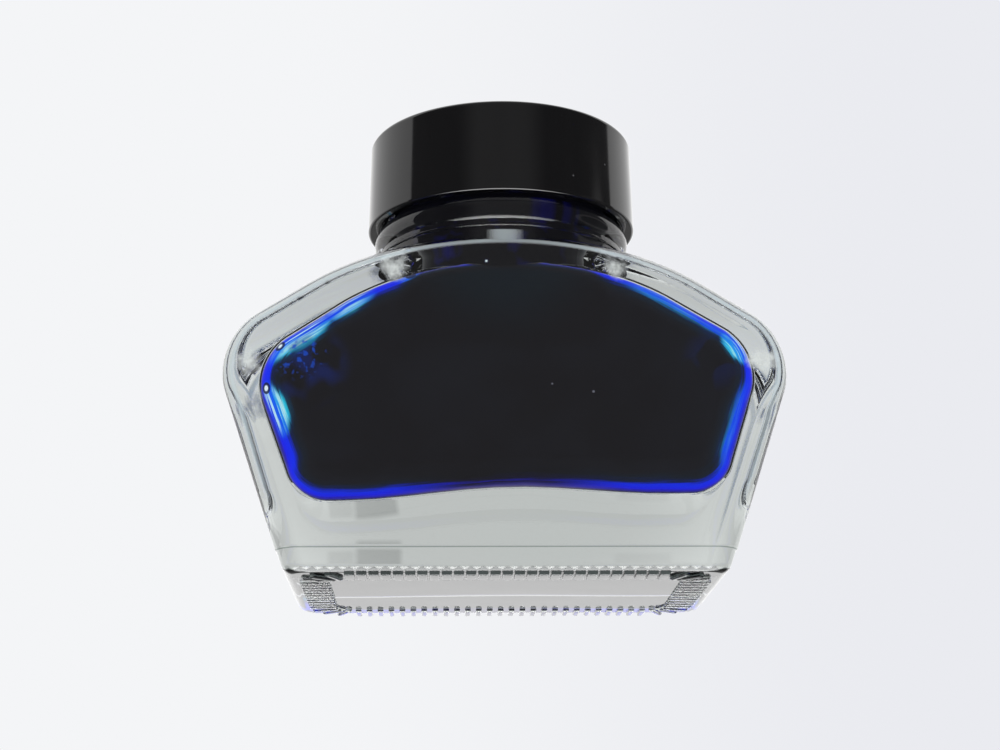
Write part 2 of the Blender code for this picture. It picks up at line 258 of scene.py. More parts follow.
# Light catches on the ridge of the rim, up to where the neck leaves the body.
below_neck = add_node(glass, "ShaderNodeMath", {0: axes["Z"], 1: 47.2 * MM}, operation="LESS_THAN")
ridge = masks["ridge"]
for part in (masks["over_base"], below_neck, grain["smears"]):
    ridge = add_node(glass, "ShaderNodeMath", {0: ridge, 1: part}, operation="MULTIPLY")
cloud = add_node(glass, "ShaderNodeMath", {0: masks["creases"], 1: chill}, operation="MULTIPLY")
clarity = add_node(glass, "ShaderNodeMath", {0: 1.0, 1: cloud}, operation="SUBTRACT")
clarity = add_node(glass, "ShaderNodeMath", {0: clarity, 1: ridge}, operation="SUBTRACT", use_clamp=True)
glass.node_tree.links.new(clarity.outputs["Value"], shader.inputs["Transmission Weight"])

# Its tints, one over another: clear glass with paler cords in it and the chilled skin; then painted shade: a dark line
# on the heel, standing in for the shade its curve makes, which waves with the bars, a grey line of painted shade along
# the mould's seam, and the painted light catches on the ridge.
# Painted shade on the front of the heel, its top edge waving with the bars.
heel = add_node(glass, "ShaderNodeMath", {0: masks["heel"], 1: masks["front"]}, operation="MULTIPLY")
glass_tint_and_painted_light = linear("#F8FBFA")
for amount, code in ((grain["cords"], "#F1F7F5"), (chill, "#F2F7F2"), (heel, "#1E2424"), (masks["seam"], "#86958F"),
                     (ridge, "#CFE6EC")):
    glass_tint_and_painted_light = add_node(glass, "ShaderNodeMix", {"Factor": amount, 6: glass_tint_and_painted_light, 7: linear(code)}, data_type="RGBA")
glass.node_tree.links.new(glass_tint_and_painted_light.outputs[2], shader.inputs["Base Color"])

BODY = dict(foot=28.7 * MM, floor=FOOT_RISE, peak=56.8 * MM, depth=36 * MM, corner=7.4 * MM, arch=31.6 * MM,
            foot_corner=0, rim=3 * MM, heel=1.2 * MM)
bm = pentagon_block(**BODY)
# The base plate and the two mould halves meet in a fine ridge all round, as (height, how proud) in mm.
for height, proud in ((3.45, 0), (3.7, 0.16), (3.95, 0)):
    cut = bmesh.ops.bisect_plane(bm, geom=bm.verts[:] + bm.edges[:] + bm.faces[:], dist=MM / 10000,
                                 plane_co=(0, 0, height * MM), plane_no=(0, 0, 1))["geom_cut"]
    bm.normal_update()
    for vert in [g for g in cut if isinstance(g, bmesh.types.BMVert)]:
        vert.co.xy += vert.normal.xy.normalized() * proud * MM
bottle = new_object("glass_bottle", bm, glass)

# Short bars pressed round the underside keep the hot glass off the table: two straight rows of
# 27, the front one in wider bars, 11 up each end and three fanned round each corner.
BAR = Vector((3.9, 0.8, 0.75)) * MM  # length, width and height
FRONT_BAR_WIDTH = 1.32 * MM
ROW_Y, END_X, END_PITCH = 15.3 * MM, 25.2 * MM, 2 * MM
FAN_X, FAN_Y, FAN_RADIUS = 20.7 * MM, 10.8 * MM, 4.5 * MM
places = [(BAR_PITCH * (i - 13), side * ROW_Y, 90, width)
          for side, width in ((-1, FRONT_BAR_WIDTH), (1, BAR.y)) for i in range(27)]
places += [(side * END_X, END_PITCH * (i - 5), 0, BAR.y) for side in (-1, 1) for i in range(11)]
places += [(sx * (FAN_X + FAN_RADIUS * math.sin(a)), sy * (FAN_Y + FAN_RADIUS * math.cos(a)),
            sx * sy * (90 - math.degrees(a)), BAR.y) for sx in (-1, 1) for sy in (-1, 1) for a in (0.4, 0.8, 1.2)]
bm = bmesh.new()
for x, y, turn, width in places:
    bar = bmesh.ops.create_cube(bm, size=1, matrix=Matrix.LocRotScale(
        (x, y, BAR.z / 2), Matrix.Rotation(math.radians(turn), 3, "Z"), (BAR.x, width, BAR.z)))["verts"]
    low = [e for e in {e for v in bar for e in v.link_edges} if all(v.co.z < MM / 100 for v in e.verts)]
    bmesh.ops.bevel(bm, geom=low, offset=0.22 * MM, segments=2, profile=0.5, affect="EDGES", material=-1)
bmesh.ops.recalc_face_normals(bm, faces=bm.faces)
bars = new_object("stipple_bars", bm, glass)

# The neck from its lip down: the rounded lip, the wall that carries the thread, the bead, the small
# ring under it, and the shank that runs down into the body.
NECK = 17.4 * MM
neck_profile = [(0, 62.2 * MM)] + arc(14.7 * MM, 61.4 * MM, 0.8 * MM, 90, 0, 6)
neck_profile += [(15.5 * MM, 52.5 * MM), (15.9 * MM, 51.95 * MM)]
neck_profile += arc(15.8 * MM, 50.45 * MM, 2.3 * MM, 40, -45, 12)
neck_profile += arc(NECK, 48.0 * MM, 0.3 * MM, 80, -80, 6)
neck_profile += [(NECK, 47.3 * MM), (NECK, 39 * MM), (0, 39 * MM)]
neck = new_object("neck_blank", turned(neck_profile, 160), glass)
thread = new_object("thread_blank", thread_ridge(
    root=15.5 * MM, crest=16.7 * MM, start_z=54.6 * MM, start_turn=0, turns=1.3), glass)
join_solids(bottle, [neck, thread, bars], "UNION")

# The hollow is blown, so it sits a little askew on the thick pressed base.
HOLLOW = dict(foot=24.6 * MM, floor=11 * MM, peak=52.8 * MM, depth=28.8 * MM, corner=6.3 * MM, arch=27 * MM,
              foot_corner=4.2 * MM, rim=5 * MM, heel=0)


def blown_hollow(inset=0.0):
    """The hollow, with the middle of its floor pushed up, set askew. A negative inset makes it larger."""
    push_up, reach = 1.3 * MM, 22 * MM
    sideways, tilt = 0.4 * MM, math.radians(-1.2)
    bm = pentagon_block(**HOLLOW, inset=inset)
    for x in range(-22, 23, 4):
        bmesh.ops.bisect_plane(bm, geom=bm.verts[:] + bm.edges[:] + bm.faces[:], dist=MM / 10000,
                               plane_co=(x * MM, 0, 0), plane_no=(1, 0, 0))
    for vert in bm.verts:
        low = max(0.0, 1 - (vert.co.z - HOLLOW["floor"]) / (8 * MM))
        if abs(vert.co.x) < reach:
            vert.co.z += push_up * low * math.cos(vert.co.x / reach * math.pi / 2) ** 2
    pivot = Matrix.Translation((0, 0, 25 * MM))
    askew = Matrix.Translation((sideways, 0, 0)) @ pivot @ Matrix.Rotation(tilt, 4, "Y")
    bmesh.ops.transform(bm, matrix=askew @ pivot.inverted(), verts=bm.verts)
    return bm


BORE = 12.9 * MM
hollow = new_object("hollow_blank", blown_hollow(), glass)
bore_profile = [(0, 64 * MM), (BORE + 0.8 * MM, 64 * MM), (BORE + 0.8 * MM, 62.2 * MM)]
bore_profile += [(BORE + 0.25 * MM, 61.8 * MM), (BORE, 61.2 * MM), (BORE, 38 * MM), (0, 38 * MM)]
bore = new_object("bore_blank", turned(bore_profile, 128), glass)
join_solids(bottle, [hollow, bore], "DIFFERENCE")


def finish_piece(obj, body, nodes, sharp=35):
    """Smooth shading that keeps flats flat, and its place in the frame."""
    obj.data.shade_smooth()
    obj.data.set_sharp_from_angle(angle=math.radians(sharp))
    normals = obj.modifiers.new("flat faces stay flat", "WEIGHTED_NORMAL")
    normals.keep_sharp, normals.weight = True, 50
    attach(obj, body)
    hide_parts(*nodes)


finish_piece(bottle, "bottle", ["bottle_glass"])


# ---------------------------------------------------------------------------------------------
# Ink: a strong blue dye in water, filled up into the neck. It takes the shape of the hollow and
# clings to the glass, so its piece laps just into the wall, and its surface turns up at the bore.
# ---------------------------------------------------------------------------------------------

INK_LEVEL = 54 * MM
INK_LAP = 0.05 * MM

# Fountain-pen ink: so strong a dye that it looks black in bulk. Only where it thins out behind
# the rounded rim of the hollow does light come through it, cyan, then pure blue, then violet; here that
# light is painted into the colour of an opaque surface, as painted light, and the colour glows a little.
# Against glass it is a mirror at shallow angles, since it bends light less than glass does.
ink, shader = new_material("blue_fountain_pen_ink")
shader.inputs["Roughness"].default_value = 0.0
shader.inputs["IOR"].default_value = 1.0
# The glow of its painted colours is painted light too.
shader.inputs["Emission Strength"].default_value = 0.45
place = add_node(ink, "ShaderNodeTexCoord").outputs["Object"]
axes = add_node(ink, "ShaderNodeSeparateXYZ", {"Vector": place}).outputs
either_side = add_node(ink, "ShaderNodeMath", {0: axes["X"]}, operation="ABSOLUTE")
forward = add_node(ink, "ShaderNodeMath", {0: axes["Y"], 1: -1.0}, operation="MULTIPLY")
on_face = add_node(ink, "ShaderNodeCombineXYZ", {"X": axes["X"], "Y": axes["Z"]})
from_axis = add_node(ink, "ShaderNodeCombineXYZ", {"X": axes["X"], "Y": axes["Y"]})
from_axis = add_node(ink, "ShaderNodeVectorMath", {0: from_axis}, operation="LENGTH")

# Its patterns, each as the size of its marks in mm and its detail: how the painted lit band's width
# wanders and its painted light flickers, flecks and veils of painted blue light in the black, and swirls in the neck.
grain = {}
for name, size, detail in (("wander", 14.3, 2.0), ("flicker", 3.85, 4.0), ("flecks", 0.769, 3.0), ("veils", 4.76, 1.0),
                           ("swirls", 6.25, 3.0)):
    marks = {"Vector": place, "Scale": 1 / (size * MM), "Detail": detail}
    grain[name] = add_node(ink, "ShaderNodeTexNoise", marks)

# How deep the surface lies behind the side wall, on the quarter round of the rim, in mm.
rim = HOLLOW["rim"]
behind_rim = add_node(ink, "ShaderNodeMath", {0: axes["Y"]}, operation="ABSOLUTE")
for operation, operand in (("SUBTRACT", HOLLOW["depth"] / 2 - rim), ("MAXIMUM", 0.0), ("POWER", 2.0),
                           ("MULTIPLY", -1.0), ("ADD", rim**2), ("MAXIMUM", 0.0), ("SQRT", 0.0),
                           ("SUBTRACT", rim), ("MULTIPLY", -1 / MM)):
    behind_rim = add_node(ink, "ShaderNodeMath", {0: behind_rim, 1: operand}, operation=operation)

# Masks along one measure each, as (from, to) with the value before and after.
masks = {}
for name, value, start, end, before, after in (
        ("by_neck", either_side, 11 * MM, 15 * MM, 1, 0), ("high_up", axes["Z"], 30 * MM, 36 * MM, 0, 1),
        ("low_down", axes["Z"], 13 * MM, 17 * MM, 1, 0), ("mid_width", either_side, 4 * MM, 18 * MM, 1, 0),
        ("in_bore", from_axis, 13.1 * MM, 13.4 * MM, 1, 0), ("over_pool", axes["Z"], 39 * MM, 40 * MM, 0, 1),
        ("past_rim", behind_rim, 1.6, 2.6, 0, 1), ("behind_face", forward, 9.6 * MM, 10.6 * MM, 1, 0)):
    ends = {"Value": value, "From Min": start, "From Max": end, "To Min": before, "To Max": after}
    masks[name] = add_node(ink, "ShaderNodeMapRange", ends, interpolation_type="SMOOTHSTEP")
for name, one, other in (("under_neck", "by_neck", "high_up"), ("mid_floor", "mid_width", "low_down"),
                         ("in_neck", "in_bore", "over_pool")):
    masks[name] = add_node(ink, "ShaderNodeMath", {0: masks[one], 1: masks[other]}, operation="MULTIPLY")

# Fine streaks in the painted light, 0.4 mm wide and drawn out to 11 mm along the rim.
stretched = {}
for axis, value, size in (("X", axes["X"], 11.1 * MM), ("Y", behind_rim, 0.385), ("Z", axes["Z"], 11.1 * MM)):
    stretched[axis] = add_node(ink, "ShaderNodeMath", {0: value, 1: size}, operation="DIVIDE")
stretched = add_node(ink, "ShaderNodeCombineXYZ", stretched)
drawn = add_node(ink, "ShaderNodeTexNoise", {"Vector": stretched, "Scale": 1.0, "Detail": 3.0, "Roughness": 0.6})

# Painted light: most light comes through at the shoulders and low on one side, so the band is painted
# brighter there. Each light is (x, z, reach) in mm and its strength.
lit = 0.0
for x, z, reach, strength in ((-28.5, 34.0, 6.5, 1.0), (-31.0, 22.5, 4.5, 1.0), (31.0, 31.5, 3.2, 1.0),
                              (-14.0, 43.0, 3.0, 0.7), (-22.0, 38.6, 5.0, 0.8), (24.0, 36.5, 11.0, 0.25),
                              (32.0, 20.0, 8.0, 0.2)):
    away = add_node(ink, "ShaderNodeVectorMath", {0: on_face, 1: (x * MM, z * MM, 0)}, operation="DISTANCE")
    ends = {"Value": away, "From Min": 0.35 * reach * MM, "From Max": reach * MM, "To Min": strength, "To Max": 0.0}
    near = add_node(ink, "ShaderNodeMapRange", ends, interpolation_type="SMOOTHSTEP")
    lit = add_node(ink, "ShaderNodeMath", {0: lit, 1: near}, operation="MAXIMUM")

# The painted lit band behind the rim, light painted where it comes through the thin ink: its width wanders,
# shrinks under the neck and over the floor, and grows where most light comes. RAMP_DEPTH is the depth in mm
# where its colours end, in the black.
RAMP_DEPTH, BULK = 5.0, "#0C0B12"
width = add_node(ink, "ShaderNodeMath", {0: grain["wander"], 1: 0.9, 2: 0.65}, operation="MULTIPLY_ADD")
for mask, change in ((masks["under_neck"], -0.52), (masks["low_down"], -0.35), (lit, 0.5)):
    change = add_node(ink, "ShaderNodeMath", {0: mask, 1: change, 2: 1.0}, operation="MULTIPLY_ADD")
    width = add_node(ink, "ShaderNodeMath", {0: width, 1: change}, operation="MULTIPLY")
depth = add_node(ink, "ShaderNodeMath", {0: behind_rim, 1: width}, operation="DIVIDE")
depth = add_node(ink, "ShaderNodeMath", {0: depth, 1: 1 / RAMP_DEPTH}, operation="MULTIPLY")
streak = add_node(ink, "ShaderNodeMath", {0: drawn, 1: 0.5}, operation="SUBTRACT")
sway = add_node(ink, "ShaderNodeMath", {0: depth, 1: 0.35}, operation="MINIMUM")
depth = add_node(ink, "ShaderNodeMath", {0: streak, 1: sway, 2: depth}, operation="MULTIPLY_ADD")
bands = {}
for name, stops in (
        ("deep", ((0.0, "#08080E"), (0.3, "#120C3C"), (0.55, "#1608B0"), (0.85, "#0A18EC"), (1.4, "#0428F0"),
                  (1.8, "#0620A8"), (2.05, "#08184A"), (2.6, "#0E1826"), (3.4, "#12131B"), (5.0, BULK))),
        ("bright", ((0.0, "#08080E"), (0.3, "#2010A0"), (0.5, "#0830F0"), (0.9, "#0A70F4"), (1.4, "#22B4EC"),
                    (1.75, "#30D0E8"), (2.0, "#18A0C0"), (2.2, "#0C3C56"), (3.0, "#10161E"), (5.0, BULK))),
        ("dusk", ((0.0, "#08080E"), (0.3, "#5C5670"), (0.7, "#40388A"), (1.1, "#1A1464"), (1.35, "#0E0C1C"),
                  (1.6, "#1410A0"), (1.85, "#0E0C30"), (2.6, BULK)))):
    bands[name] = add_node(ink, "ShaderNodeValToRGB", {"Fac": depth})
    colours = bands[name].color_ramp.elements
    while len(colours) < len(stops):
        colours.new(0.5)
    for colour, (stop, code) in zip(colours, stops):
        colour.position, colour.color = stop / RAMP_DEPTH, linear(code)

# What shows, one layer over another, each as (how much, its colour): first the painted bright band, and
# where the ink is thinnest a painted glare, almost white, in streaks.
bright = lit
for noise, gain, offset in ((grain["flicker"], 1.6, 0.1), (drawn, 2.4, -0.2)):
    gain = add_node(ink, "ShaderNodeMath", {0: noise, 1: gain, 2: offset}, operation="MULTIPLY_ADD")
    bright = add_node(ink, "ShaderNodeMath", {0: bright, 1: gain}, operation="MULTIPLY")
glare = add_node(ink, "ShaderNodeMath", {0: lit, 1: lit}, operation="MULTIPLY")
for value, start, end, before, after in (
        (drawn, 0.45, 0.56, 0, 1), (depth, 0.34, 0.42, 1, 0), (depth, 0.1, 0.16, 0, 0.85)):
    ends = {"Value": value, "From Min": start, "From Max": end, "To Min": before, "To Max": after}
    mask = add_node(ink, "ShaderNodeMapRange", ends, interpolation_type="SMOOTHSTEP")
    glare = add_node(ink, "ShaderNodeMath", {0: glare, 1: mask}, operation="MULTIPLY")
layers = [(bright, bands["bright"]), (glare, linear("#C4EEF8"))]

# Deeper in, painted glimmers of light show in the black: faint blue flecks by the lit places, and a tinge
# of teal under the neck.
for noise, x, z, reach, start, end, most, code in (
        ("veils", -26.5, 28.5, 6.5, 0.46, 0.6, 0.55, "#0A2066"),
        ("flecks", -27.5, 30.5, 4.5, 0.56, 0.64, 0.8, "#1048C0"),
        ("veils", 28.0, 29.5, 5.0, 0.5, 0.56, 0.35, "#0C1C50"),
        ("veils", 0.0, 47.0, 16.0, -0.2, -0.1, 0.6, "#0A1A24")):
    away = add_node(ink, "ShaderNodeVectorMath", {0: on_face, 1: (x * MM, z * MM, 0)}, operation="DISTANCE")
    amount = masks["past_rim"]
    for value, low, high, before, after in (
            (away, 0.4 * reach * MM, reach * MM, most, 0), (grain[noise], start, end, 0, 1)):
        ends = {"Value": value, "From Min": low, "From Max": high, "To Min": before, "To Max": after}
        mask = add_node(ink, "ShaderNodeMapRange", ends, interpolation_type="SMOOTHSTEP")
        amount = add_node(ink, "ShaderNodeMath", {0: amount, 1: mask}, operation="MULTIPLY")
    layers.append((amount, linear(code)))

# The painted band over the middle of the floor is dusky, in painted shade, and the column in the neck
# shows painted dark blue glimmers in swirls.
swirls = add_node(ink, "ShaderNodeValToRGB", {"Fac": grain["swirls"]})
for colour, (stop, code) in zip(swirls.color_ramp.elements, ((0.56, "#08080E"), (0.8, "#0C0C6A"))):
    colour.position, colour.color = stop, linear(code)
layers += [(masks["mid_floor"], bands["dusk"]), (masks["in_neck"], swirls)]

# Bubbles cling to the glass round the rim, each painted as a glint, a painted highlight, in a ring of
# painted shade, as (x, z, size) in mm.
for x, z, size in ((-30.3, 31.6, 0.9), (-32.0, 25.6, 0.9), (-12.9, 42.0, 1.1), (-6.2, 12.2, 0.35), (1.3, 12.6, 0.35),
                   (9.4, 12.4, 0.35), (33.2, 29.4, 0.5), (33.9, 27.0, 0.4), (-2.5, 43.6, 0.4)):
    middle = (x * MM, -12.8 * MM, z * MM)
    away = add_node(ink, "ShaderNodeVectorMath", {0: place, 1: middle}, operation="DISTANCE")
    for core, edge, most, code in ((0.85, 1.0, 0.9, "#0A0A2A"), (0.35, 0.6, 1.0, "#E4F2FA")):
        ends = {"Value": away, "From Min": core * size * MM, "From Max": edge * size * MM, "To Min": most,
                "To Max": 0.0}
        spot = add_node(ink, "ShaderNodeMapRange", ends, interpolation_type="SMOOTHSTEP")
        layers.append((spot, linear(code)))

# Dust floats in it: a speck 0.4 mm across in one 6.25 mm cell of five.
dust = add_node(ink, "ShaderNodeTexVoronoi", {"Vector": place, "Scale": 1 / (6.25 * MM)})
pick = add_node(ink, "ShaderNodeSeparateXYZ", {"Vector": dust.outputs["Color"]}).outputs["X"]
picked = add_node(ink, "ShaderNodeMath", {0: pick, 1: 0.8}, operation="GREATER_THAN")
ends = {"Value": dust.outputs["Distance"], "From Min": 0.02, "From Max": 0.035, "To Min": 1.0, "To Max": 0.0}
speck = add_node(ink, "ShaderNodeMapRange", ends, interpolation_type="SMOOTHSTEP")
speck = add_node(ink, "ShaderNodeMath", {0: speck, 1: picked}, operation="MULTIPLY")
layers.append((speck, linear("#6A6A78")))
shown = bands["deep"]
for amount, colour in layers:
    shown = add_node(ink, "ShaderNodeMix", {"Factor": amount, 6: shown, 7: colour}, data_type="RGBA")

# Behind its face the ink mirrors as water does under glass. The face itself mirrors a little less,
# so that its colours show.
INK_UNDER_GLASS, FACE_UNDER_GLASS = 1.34 / 1.52, 0.93
bend = {0: masks["behind_face"], 1: INK_UNDER_GLASS - FACE_UNDER_GLASS, 2: FACE_UNDER_GLASS}
bend = add_node(ink, "ShaderNodeMath", bend, operation="MULTIPLY_ADD")
mirror = add_node(ink, "ShaderNodeFresnel", {"IOR": bend}).outputs["Fac"]
ink.node_tree.links.new(mirror, shader.inputs["Metallic"])
# Where it does not mirror, the painted colours give both its colour and its painted glow.
for mirrored, socket in (((1, 1, 1, 1), "Base Color"), ((0, 0, 0, 1), "Emission Color")):
    seen = add_node(ink, "ShaderNodeMix", {"Factor": mirror, 6: shown, 7: mirrored}, data_type="RGBA")
    ink.node_tree.links.new(seen.outputs[2], shader.inputs[socket])

ink_pool = new_object("ink_pool", blown_hollow(-INK_LAP), ink)
column_profile = [(0, INK_LEVEL), (BORE - 1.2 * MM, INK_LEVEL)]
column_profile += [(BORE - 0.5 * MM, INK_LEVEL + 0.15 * MM), (BORE + INK_LAP, INK_LEVEL + 0.8 * MM)]
column_profile += [(BORE + INK_LAP, 38.5 * MM), (0, 38.5 * MM)]
column = new_object("ink_column", turned(column_profile, 128), ink)
join_solids(ink_pool, [column], "UNION")

finish_piece(ink_pool, "bottle", ["ink_fill"])


# ---------------------------------------------------------------------------------------------
# Cap liner: a disc stamped from a sheet of white pressed polyethylene foam. It is held loose in
# the top of the cap and seals on the lip, so it rises with the cap and does not turn.
# ---------------------------------------------------------------------------------------------

# Closed-cell polyethylene foam: white, soft-looking, with fine cells pressed flat, 0.45 mm each,
# and a mottle where the sheet is a little denser.
foam, shader = new_material("pressed_polyethylene_foam")
shader.inputs["Roughness"].default_value = 0.6
place = add_node(foam, "ShaderNodeTexCoord").outputs["Object"]
cells = add_node(foam, "ShaderNodeTexVoronoi", {"Vector": place, "Scale": 1 / (0.455 * MM)})
mottle = add_node(foam, "ShaderNodeTexNoise", {"Vector": place, "Scale": 1 / (3.33 * MM), "Detail": 3.0})
cell_tone = {"Factor": mottle, 6: linear("#ECEAE4"), 7: linear("#D8D5CC")}
cell_tone = add_node(foam, "ShaderNodeMix", cell_tone, data_type="RGBA")
foam.node_tree.links.new(cell_tone.outputs[2], shader.inputs["Base Color"])
dimples = add_node(foam, "ShaderNodeBump", {"Height": cells, "Strength": 0.6, "Distance": 0.05 * MM})
foam.node_tree.links.new(dimples.outputs["Normal"], shader.inputs["Normal"])
liner_profile = [(0, 63.6 * MM)] + arc(16.5 * MM, 63.3 * MM, 0.3 * MM, 90, 0, 4)
liner_profile += arc(16.5 * MM, 62.8 * MM, 0.3 * MM, 0, -90, 4) + [(0, 62.5 * MM)]
liner = new_object("foam_liner", turned(liner_profile, 96), foam)
finish_piece(liner, "cap_lift_body", ["cap_liner"])


# ---------------------------------------------------------------------------------------------
# Cap: black plastic, injection moulded in one piece with a polished outside, rounded edges and
# its thread inside. It screws down on the neck over the liner.
# ---------------------------------------------------------------------------------------------

cap_profile = [(0, 65.6 * MM)] + arc(18.0 * MM, 64.8 * MM, 0.8 * MM, 90, 2, 10)
cap_profile += arc(18.73 * MM, 52.7 * MM, 0.35 * MM, 0, -90, 5) + arc(17.7 * MM, 52.7 * MM, 0.35 * MM, -90, -180, 4)
cap_profile += [(17.35 * MM, 63.9 * MM), (0, 63.9 * MM)]
# Glossy black thermoset or styrene plastic: polished by its mould, with faint flow streaks 4 mm
# wide up the wall, an 11 mm handling haze, and a dust speck in one 2.4 mm cell of ten.
plastic, shader = new_material("black_moulded_plastic")
shader.inputs["IOR"].default_value = 1.5
place = add_node(plastic, "ShaderNodeTexCoord").outputs["Object"]
upright = add_node(plastic, "ShaderNodeMapping", {"Vector": place, "Scale": (1, 1, 0.06)})
flow = add_node(plastic, "ShaderNodeTexNoise", {"Vector": upright, "Scale": 1 / (4.17 * MM), "Detail": 4.0})
flow_tone = {"Factor": flow, 6: linear("#070709"), 7: linear("#151415")}
flow_tone = add_node(plastic, "ShaderNodeMix", flow_tone, data_type="RGBA")
dust = add_node(plastic, "ShaderNodeTexVoronoi", {"Vector": place, "Scale": 1 / (2.38 * MM)})
pick = add_node(plastic, "ShaderNodeSeparateXYZ", {"Vector": dust.outputs["Color"]}).outputs["X"]
picked = add_node(plastic, "ShaderNodeMath", {0: pick, 1: 0.9}, operation="GREATER_THAN")
ends = {"Value": dust.outputs["Distance"], "From Min": 0.03, "From Max": 0.07, "To Min": 0.5, "To Max": 0.0}
speck = add_node(plastic, "ShaderNodeMapRange", ends)
speck = add_node(plastic, "ShaderNodeMath", {0: picked, 1: speck}, operation="MULTIPLY")
dusty = {"Factor": speck, 6: flow_tone, 7: linear("#8A8A8C")}
dusty = add_node(plastic, "ShaderNodeMix", dusty, data_type="RGBA")
plastic.node_tree.links.new(dusty.outputs[2], shader.inputs["Base Color"])
haze = add_node(plastic, "ShaderNodeTexNoise", {"Vector": place, "Scale": 1 / (11.1 * MM), "Detail": 5.0})
ends = {"Value": haze, "From Min": 0.4, "From Max": 0.75, "To Min": 0.05, "To Max": 0.16}
polish = add_node(plastic, "ShaderNodeMapRange", ends)
plastic.node_tree.links.new(polish.outputs["Result"], shader.inputs["Roughness"])
sink = add_node(plastic, "ShaderNodeBump", {"Height": flow, "Strength": 1.0, "Distance": 0.01 * MM})
plastic.node_tree.links.new(sink.outputs["Normal"], shader.inputs["Normal"])
cap = new_object("screw_cap", turned(cap_profile, 192), plastic)
cap_thread = new_object("cap_thread", thread_ridge(
    root=17.35 * MM, crest=15.95 * MM, start_z=55.2 * MM, start_turn=0.5, turns=1.25), plastic)
join_solids(cap, [cap_thread], "UNION")
finish_piece(cap, "cap", ["cap_shell"], sharp=30)


# ---------------------------------------------------------------------------------------------
# Stage: a floor of pale paper, seen only from above, a lit card behind the bottle that only
# light through the glass sees, a pale surround and the camera. None of it is part of the bottle.
# ---------------------------------------------------------------------------------------------

bm = bmesh.new()
bmesh.ops.create_grid(bm, x_segments=1, y_segments=1, size=3.0)
bmesh.ops.translate(bm, verts=bm.verts, vec=(0, 0, -0.05 * MM))
floor = new_object("studio_floor", bm)
floor.visible_transmission = floor.visible_glossy = False
paper, shader = new_material("matt_white_paper")
shader.inputs["Roughness"].default_value = 0.9
# Matt paper: its fibres are too fine to show, so they are drawn 1.1 mm long.
place = add_node(paper, "ShaderNodeTexCoord").outputs["Object"]
fibres = add_node(paper, "ShaderNodeTexNoise", {"Vector": place, "Scale": 1 / (1.11 * MM), "Detail": 3.0})
sheet = {"Factor": fibres, 6: linear("#F6F6F6"), 7: linear("#F1F1F1")}
sheet = add_node(paper, "ShaderNodeMix", sheet, data_type="RGBA")
paper.node_tree.links.new(sheet.outputs[2], shader.inputs["Base Color"])
side = add_node(paper, "ShaderNodeNewGeometry").outputs["Backfacing"]
clear = add_node(paper, "ShaderNodeBsdfTransparent")
one_sided = add_node(paper, "ShaderNodeMixShader", {"Fac": side, 1: shader, 2: clear})
output = paper.node_tree.nodes["Material Output"]
paper.node_tree.links.new(one_sided.outputs["Shader"], output.inputs["Surface"])
floor.data.materials.append(paper)

bm = bmesh.new()
bmesh.ops.create_grid(bm, x_segments=1, y_segments=1, size=0.15)
bmesh.ops.rotate(bm, verts=bm.verts, cent=(0, 0, 0), matrix=Matrix.Rotation(math.radians(90), 3, "X"))
bmesh.ops.translate(bm, verts=bm.verts, vec=(0, 19.4 * MM, 0.03))
card = new_object("back_card", bm)
# A sheet of white card that glows as if lit from behind, with the bottle's shadow painted on it: it is a
# little dimmer in its middle. Low on it are three painted panes of shade, as (left, right, top) in mm and how much
# each dims it.
lit_card = new_material("lit_white_card")[0]
place = add_node(lit_card, "ShaderNodeTexCoord").outputs["Object"]
axes = add_node(lit_card, "ShaderNodeSeparateXYZ", {"Vector": place}).outputs
across = {"Vector": place, "Location": (0, 0, -24 * MM), "Scale": (0.8, 0, 1)}
across = add_node(lit_card, "ShaderNodeMapping", across)
reach = add_node(lit_card, "ShaderNodeVectorMath", {0: across}, operation="LENGTH")
ends = {"Value": reach, "From Min": 18 * MM, "From Max": 45 * MM, "To Min": 0.58, "To Max": 1.0}
lit = add_node(lit_card, "ShaderNodeMapRange", ends, interpolation_type="SMOOTHSTEP")
for left, right, top, dimming in ((-20.5, -14.2, 9.0, 0.3), (-24.5, -20.8, 8.5, 0.14), (16.0, 24.0, 8.0, 0.07)):
    inside = 1.0
    for axis, at, before, after in (("X", left, 0, 1), ("X", right, 1, 0), ("Z", top, 1, 0)):
        ends = {"Value": axes[axis], "From Min": (at - 0.4) * MM, "From Max": (at + 0.4) * MM, "To Min": before,
                "To Max": after}
        cover = add_node(lit_card, "ShaderNodeMapRange", ends)
        inside = add_node(lit_card, "ShaderNodeMath", {0: inside, 1: cover}, operation="MULTIPLY")
    pane = add_node(lit_card, "ShaderNodeMath", {0: inside, 1: -dimming, 2: 1.0}, operation="MULTIPLY_ADD")
    lit = add_node(lit_card, "ShaderNodeMath", {0: lit, 1: pane}, operation="MULTIPLY")
glow = add_node(lit_card, "ShaderNodeEmission", {"Color": linear("#FAFBFA"), "Strength": lit})
side = add_node(lit_card, "ShaderNodeNewGeometry").outputs["Backfacing"]
clear = add_node(lit_card, "ShaderNodeBsdfTransparent")
one_sided = add_node(lit_card, "ShaderNodeMixShader", {"Fac": side, 1: glow, 2: clear})
output = lit_card.node_tree.nodes["Material Output"]
lit_card.node_tree.links.new(one_sided.outputs["Shader"], output.inputs["Surface"])
card.data.materials.append(lit_card)
card.visible_camera = card.visible_glossy = card.visible_diffuse = False

world = bpy.data.worlds.new("studio_surround")
bpy.context.scene.world = world
world.use_nodes = True
world.cycles.sampling_method = "NONE"


